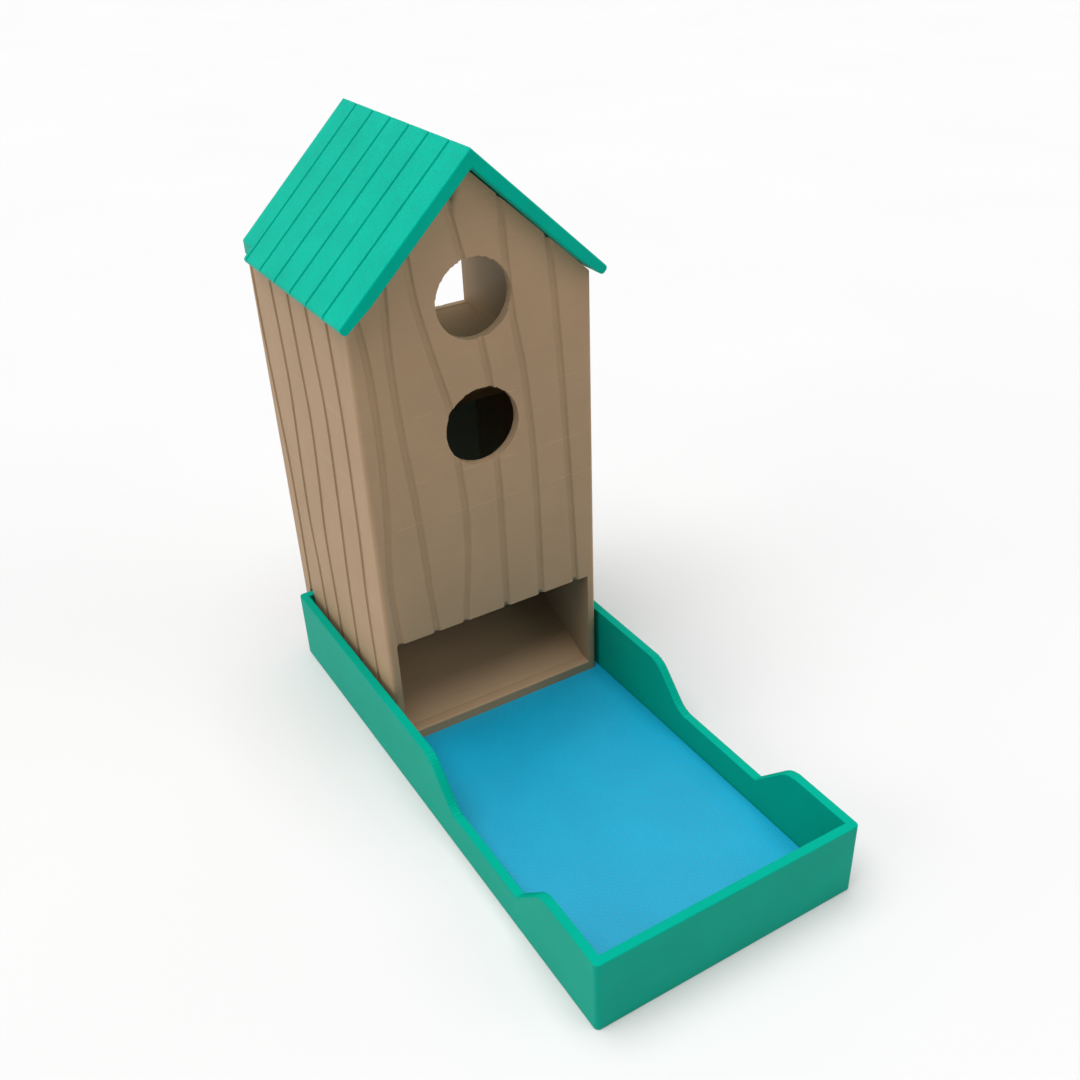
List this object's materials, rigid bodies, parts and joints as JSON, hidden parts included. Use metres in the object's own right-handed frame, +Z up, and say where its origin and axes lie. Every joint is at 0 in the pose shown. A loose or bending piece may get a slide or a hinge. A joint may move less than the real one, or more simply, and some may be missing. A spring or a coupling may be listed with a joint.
{
  "type": "dice tower",
  "caption": "Birdhouse-shaped dice tower with a gabled plank roof and sloping ramps, standing in a long dice tray with hand dips in its sides.",
  "frame": {"origin": "centre of the tray's flat underside", "axes": "+X across the tray, +Y along the tray from its open end towards the tower, +Z up"},
  "size_m": [0.0606, 0.1417, 0.1319],
  "materials": {
    "tray_plastic": "teal printed plastic with fine level layer lines and a soft sheen",
    "mat_plastic": "matt blue printed sheet with fine diagonal lines",
    "tower_plastic": "tan-brown matt printed plastic with fine level layer lines and shallow board joints",
    "roof_plastic": "bright teal printed plastic with a grainy upper face"
  },
  "bodies": {
    "tray": {"tray_base": "tray_plastic", "tray_front_wall": "tray_plastic", "tray_rear_wall": "tray_plastic", "tray_left_wall": "tray_plastic", "tray_right_wall": "tray_plastic", "floor_mat": "mat_plastic"},
    "tower": {"front_panel": "tower_plastic", "left_panel": "tower_plastic", "right_panel": "tower_plastic", "rear_panel": "tower_plastic", "exit_sill": "tower_plastic", "exit_ramp": "tower_plastic", "middle_ramp": "tower_plastic", "upper_ramp": "tower_plastic"},
    "roof": {"roof_left_slope": "roof_plastic", "roof_right_slope": "roof_plastic", "roof_left_rib": "roof_plastic", "roof_right_rib": "roof_plastic"}
  },
  "joints": [
    {"name": "tower_lift", "type": "slide", "parent": "tray", "child": "tower", "axis": [0, 0, 1], "range_m": [0, 0.03]},
    {"name": "roof_lift", "type": "slide", "parent": "tower", "child": "roof", "axis": [0, 0, 1], "range_m": [0, 0.04]}
  ]
}
